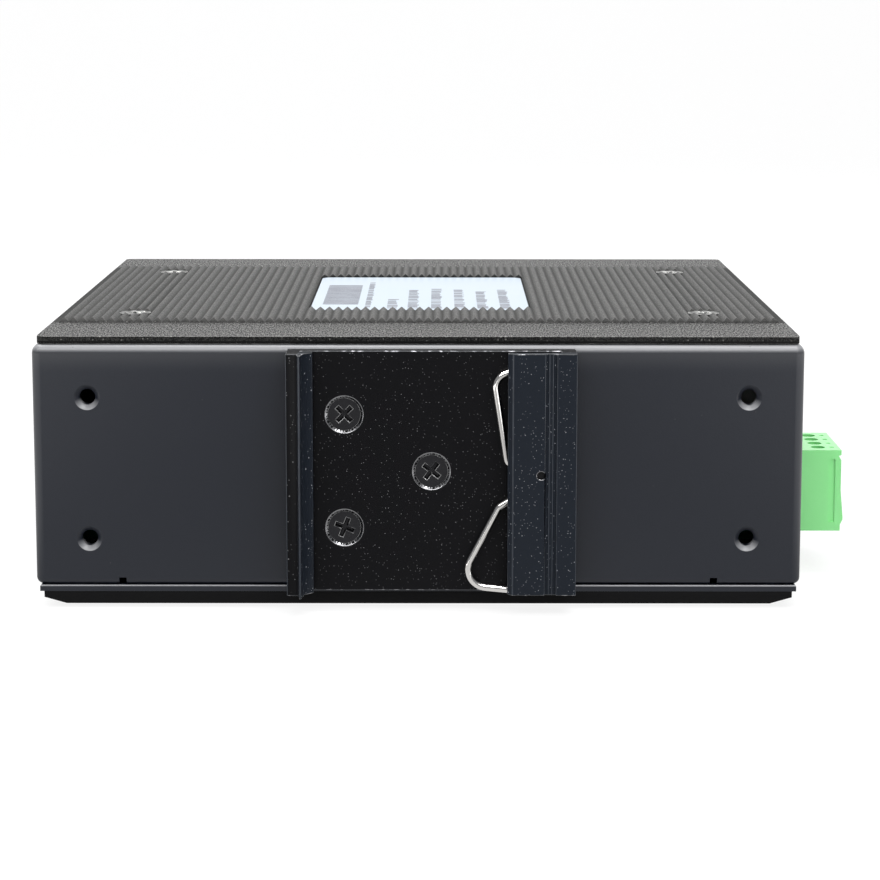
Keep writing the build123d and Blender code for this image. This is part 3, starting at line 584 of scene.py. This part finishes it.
def nearest_bore(place, bores):
    """How far a place is from the nearest of some bores, seen along Y."""
    return min(Vector((place.x - x, 0, place.z - z)).length for x, z in bores)


def on_seat_rim(v):
    """Whether a corner is on the rim of a screw's seat in the clip's face."""
    in_face = v.co.y < CLIP_FACE + 0.25 * MM
    return in_face and SEAT_INSIDE < nearest_bore(v.co, SEAT_PLACES) < SEAT_OUTSIDE


clip_shape = merged("din_plate")
rims = [e for e in clip_shape.edges if e.is_convex and all(on_seat_rim(v) for v in e.verts)]
bevelled(clip_shape, rims, SEAT_RIM)
rounded(clip_shape, CLIP_EDGE, CLIP_LEAST_ANGLE)
for face in clip_shape.faces:
    centre = face.calc_center_median()
    on_edge = face.material_index == 1
    on_rim = 0.001 * MM < centre.y - CLIP_FACE < 0.35 * MM
    by_bore = nearest_bore(centre, (*SEAT_PLACES, (STAKE_X, CLIP_MIDDLE))) < SEAT_REACH
    if face.calc_area() < SMALL_FACE and by_bore and (on_edge or on_rim):
        face.material_index = 2
    elif on_edge and abs(centre.z - CLIP_MIDDLE) <= SAWN_FROM:
        face.material_index = 3
piece(
    clip_shape,
    "rail_clip",
    "chassis",
    clip_black,
    ["din_plate"],
    worn_anodising,
    [seat_metal, thin_anodising],
)

# Clip screws: three M3 countersunk cross-head screws with a black oxide coat. The stake across the
# channel has a plain black coat of its own.
OXIDE = (0.03, 0.03, 0.033)
CLIP_SCREW_Y = -60 * MM
black_oxide = grained(
    finish("black_oxide", OXIDE, 0.3, 0.7),
    scale=2200.0,
    height=0.012,
    cloud_scale=420.0,
    roughness=(0.2, 0.42),
)
worn_oxide = worn("worn_oxide", OXIDE, (0.45, 0.45, 0.45), 0.4, 0.58)
clip_turns = {(x, CLIP_SCREW_Y, z): turn for (x, z), turn in zip(SEAT_PLACES, (38, 45, 22))}
screws("din_plate_screws", "clip_screws", black_oxide, worn_oxide, "Y", clip_turns)
pin_black = grained(
    finish("pin_black", (0.008, 0.008, 0.009), 0.4, Specular_IOR_Level=0.2),
    scale=2200.0,
    height=0.012,
    cloud_scale=420.0,
)
dress(pin_black, "spring_pin")

# Wire spring: hard-drawn steel wire, nickel plated and bright. It is bent round the stake, which it
# swings about.
bright_wire = grained(
    finish("bright_wire", (1.0, 0.98, 0.95), 0.2, 1.0),
    scale=1600.0,
    height=0.006,
    cloud_scale=300.0,
    roughness=(0.07, 0.16),
)
dress(bright_wire, "spring_wire")

# Power terminal: a plug and its socket moulded in green polyamide. Inside are tinned brass clamps,
# contact sleeves and pins, and zinc-plated clamp screws.
MOULDED_EDGE = 0.12 * MM
green = grained(
    finish(
        "green_moulding",
        (0.29, 0.86, 0.31),
        0.3,
        Subsurface_Weight=0.1,
        Subsurface_Radius=(0.6 * MM, 1.2 * MM, 0.6 * MM),
    ),
    scale=1500.0,
    height=0.012,
    cloud_scale=120.0,
    roughness=(0.24, 0.36),
    colours=((0.27, 0.83, 0.29), (0.31, 0.88, 0.33)),
)
plug_shape = rounded(merged("terminal_plug"), MOULDED_EDGE)
piece(plug_shape, "green_plug", "plug", green, ["terminal_plug"])
socket_shape = rounded(merged("terminal_header"), MOULDED_EDGE)
piece(socket_shape, "green_socket", "chassis", green, ["terminal_header"])
tin = grained(
    finish("tinned_brass", (0.74, 0.7, 0.58), 0.3, 1.0),
    scale=2000.0,
    height=0.004,
    cloud_scale=400.0,
    roughness=(0.2, 0.4),
)
dress(tin, "plug_clamps", "plug_contacts", "header_pins")
dress(zinc, "plug_clamp_screws")

# Port block: a folded and tinned steel shield round a black moulded body, with gold-plated spring
# contacts in each port. The clock crystal's can is tinned too.
SHIELD_EDGE = 0.05 * MM
shield = grained(
    finish("tinned_shield", (0.7, 0.7, 0.69), 0.28, 1.0),
    scale=1500.0,
    height=0.005,
    cloud_scale=120.0,
    roughness=(0.2, 0.38),
)
shield_shape = rounded(merged("port_shield"), SHIELD_EDGE)
piece(shield_shape, "port_block_shield", "chassis", shield, ["port_shield"])
dress(shield, "clock_crystal")
black_moulding = grained(
    finish("black_moulding", (0.016, 0.016, 0.017), 0.45),
    scale=1700.0,
    height=0.014,
    cloud_scale=90.0,
    roughness=(0.38, 0.55),
)
dress(black_moulding, "port_insert", "switch_chip", "lan_transformers")
gold = grained(
    finish("gold_plate", (0.85, 0.6, 0.22), 0.22, 1.0),
    scale=2200.0,
    height=0.003,
    cloud_scale=500.0,
    roughness=(0.16, 0.32),
)
dress(gold, "port_contacts")

# Status lights: a clear moulded guide, whose pegs fill the round windows, stands in front of the small
# lamps on the board.
clear = grained(
    finish("clear_moulding", (0.92, 0.95, 0.94), 0.12, IOR=1.49, Transmission_Weight=0.85),
    scale=700.0,
    height=0.004,
    cloud_scale=80.0,
    roughness=(0.08, 0.2),
)
dress(clear, "light_guide")
lens = clouded(finish("lamp_lens", (0.78, 0.86, 0.62), 0.3), 300.0, (0.7, 0.8, 0.5), (0.85, 0.9, 0.74))
dress(lens, "status_leds")

# Board and its parts: green solder mask over copper, a finned heat sink on a soft pad, sleeved
# capacitors and a ferrite choke. The board stands on plated steel standoffs.
mask_green = grained(
    finish("solder_mask", (0.015, 0.13, 0.05), 0.34),
    scale=1000.0,
    height=0.01,
    cloud_scale=180.0,
    colours=((0.012, 0.11, 0.04), (0.03, 0.19, 0.08)),
)
dress(mask_green, "main_board")
dress(zinc, "board_standoffs", "board_screws")
fins = grained(
    finish("black_fins", (0.03, 0.03, 0.031), 0.4, 0.4),
    scale=1800.0,
    height=0.01,
    cloud_scale=100.0,
    roughness=(0.34, 0.5),
)
dress(fins, "chip_heat_sink")
pad = grained(
    finish("soft_pad", (0.4, 0.46, 0.58), 0.7),
    scale=1400.0,
    height=0.02,
    cloud_scale=200.0,
    colours=((0.36, 0.42, 0.54), (0.46, 0.52, 0.64)),
)
dress(pad, "thermal_pad")
sleeve = grained(
    finish("capacitor_sleeve", (0.05, 0.06, 0.14), 0.35),
    scale=900.0,
    height=0.01,
    cloud_scale=120.0,
    roughness=(0.28, 0.42),
)
dress(sleeve, "power_capacitors")
sintered = grained(
    finish("ferrite", (0.06, 0.06, 0.062), 0.6),
    scale=1600.0,
    height=0.03,
    cloud_scale=220.0,
    roughness=(0.5, 0.7),
)
dress(sintered, "power_inductor")

# Table and backdrop: a pale sweep that rises behind the object. Seen directly it is nearly white, and it
# keeps the object's shadow. In a gloss it glows unevenly, a hidden light for reflections: grey in front of
# the case, brighter behind it and brightest to its sides.
SWEEP_HALF_WIDTH = 3.0
SWEEP_FRONT = -2.5
SWEEP_BEND_START = 1.0
SWEEP_BEND = 0.5
SWEEP_RISE = 2.0
SHADED_IN_GLOSS = 0.43
SEEN_DIRECTLY = 1.12
DIRECT_SHARE = 0.78
paper = clouded(finish("pale_paper", (0.86, 0.86, 0.86), 0.8), 4.0, (0.85, 0.85, 0.85), (0.88, 0.88, 0.88))
tree = paper.node_tree
rays = node(tree, "ShaderNodeLightPath").outputs
position = measures(tree)
depth = ranged(tree, position["Y"], -0.2, 0.4)
beside = ranged(tree, combined(tree, "ABSOLUTE", position["X"]), 0.07, 0.14)
behind = between(paper, depth, SHADED_IN_GLOSS, 1.25)
near_sides = combined(tree, "MULTIPLY", beside, between(paper, depth, 1.0, 0.0))
mirrored = combined(tree, "MAXIMUM", behind, between(paper, near_sides, SHADED_IN_GLOSS, 1.9))
strength = between(paper, rays["Is Camera Ray"], mirrored, SEEN_DIRECTLY)
direct = combined(tree, "MAXIMUM", rays["Is Camera Ray"], rays["Is Transmission Ray"])
direct_share = combined(tree, "MULTIPLY", direct, DIRECT_SHARE)
share = combined(tree, "MAXIMUM", direct_share, rays["Is Glossy Ray"])
white = node(tree, "ShaderNodeEmission", {"Color": (1, 1, 1, 1), "Strength": strength})
mixed = node(
    tree,
    "ShaderNodeMixShader",
    {0: share, 1: tree.nodes["Principled BSDF"].outputs[0], 2: white.outputs[0]},
)
tree.links.new(mixed.outputs[0], tree.nodes["Material Output"].inputs["Surface"])
sweep = bmesh.new()
floor_edge = [sweep.verts.new((x, SWEEP_FRONT, 0)) for x in (-SWEEP_HALF_WIDTH, SWEEP_HALF_WIDTH)]


def drawn_on(edges, offset):
    """Extrudes a row of edges along an offset and gives back the new row."""
    grown = bmesh.ops.extrude_edge_only(sweep, edges=edges)["geom"]
    bmesh.ops.translate(sweep, verts=[g for g in grown if isinstance(g, bmesh.types.BMVert)], vec=offset)
    return [g for g in grown if isinstance(g, bmesh.types.BMEdge) and all(v in grown for v in g.verts)]


line = drawn_on([sweep.edges.new(floor_edge)], (0, SWEEP_BEND_START - SWEEP_FRONT, 0))
bend = bmesh.ops.spin(
    sweep,
    geom=line + list({v for e in line for v in e.verts}),
    cent=(0, SWEEP_BEND_START, SWEEP_BEND),
    axis=(1, 0, 0),
    angle=pi / 2,
    steps=16,
)
drawn_on([g for g in bend["geom_last"] if isinstance(g, bmesh.types.BMEdge)], (0, 0, SWEEP_RISE))
bmesh.ops.recalc_face_normals(sweep, faces=sweep.faces)
sweep_mesh = bpy.data.meshes.new("paper_sweep")
sweep.to_mesh(sweep_mesh)
sweep.free()
sweep_mesh.shade_smooth()
sweep_mesh.materials.append(paper)
backdrop = bpy.data.objects.new("paper_sweep", sweep_mesh)
bpy.context.scene.collection.objects.link(backdrop)

# Studio light: a long soft box overhead, a weaker one in front, and an even pale room. Both boxes are
# turned to the middle of the case.
ROOM_COLOUR = (0.95, 0.97, 1.0, 1)
ROOM_STRENGTH = 0.22
LIT_PLACE = (0, 0, 0.02)
world = bpy.data.worlds.new("pale_room")
bpy.context.scene.world = world
world.use_nodes = True
room = world.node_tree.nodes["Background"]
room.inputs["Color"].default_value = ROOM_COLOUR
room.inputs["Strength"].default_value = ROOM_STRENGTH


def soft_box(name, width, length, watts, place):
    """A rectangular area lamp turned to the lit place."""
    lamp = bpy.data.lights.new(name, "AREA")
    lamp.shape = "RECTANGLE"
    lamp.size = width
    lamp.size_y = length
    lamp.energy = watts
    made = bpy.data.objects.new(name, lamp)
    bpy.context.scene.collection.objects.link(made)
    made.location = place
    made.rotation_euler = (Vector(LIT_PLACE) - Vector(place)).to_track_quat("-Z", "Y").to_euler()


soft_box("overhead_box", width=1.4, length=0.22, watts=11.0, place=(-0.05, -0.08, 1.0))
soft_box("front_box", width=1.4, length=0.3, watts=8.0, place=(-0.05, -0.72, 0.8))

# Camera: a long lens in front of the clip, a little above the case and looking down on it. Its shift
# puts the case where the photograph has it.
PICTURE = 880
FOCAL_PIXELS = 2416.3
SENSOR = 36.0
CAMERA_PLACE = (3.3 * MM, -451.73 * MM, 100.99 * MM)
CAMERA_SHIFT = -0.1
YAW = -0.042
TILT = 8.386
ROLL = 0.052
camera = bpy.data.objects.new("camera", bpy.data.cameras.new("camera"))
bpy.context.scene.collection.objects.link(camera)
camera.data.sensor_width = SENSOR
camera.data.lens = FOCAL_PIXELS * SENSOR / PICTURE
camera.data.shift_y = CAMERA_SHIFT
camera.data.clip_start = 0.01
camera.data.clip_end = 20
camera.location = CAMERA_PLACE
camera.rotation_euler = (
    Matrix.Rotation(radians(YAW), 4, "Z")
    @ Matrix.Rotation(radians(90 - TILT), 4, "X")
    @ Matrix.Rotation(radians(ROLL), 4, "Z")
).to_euler()
bpy.context.scene.camera = camera
bpy.context.scene.view_settings.view_transform = "Standard"
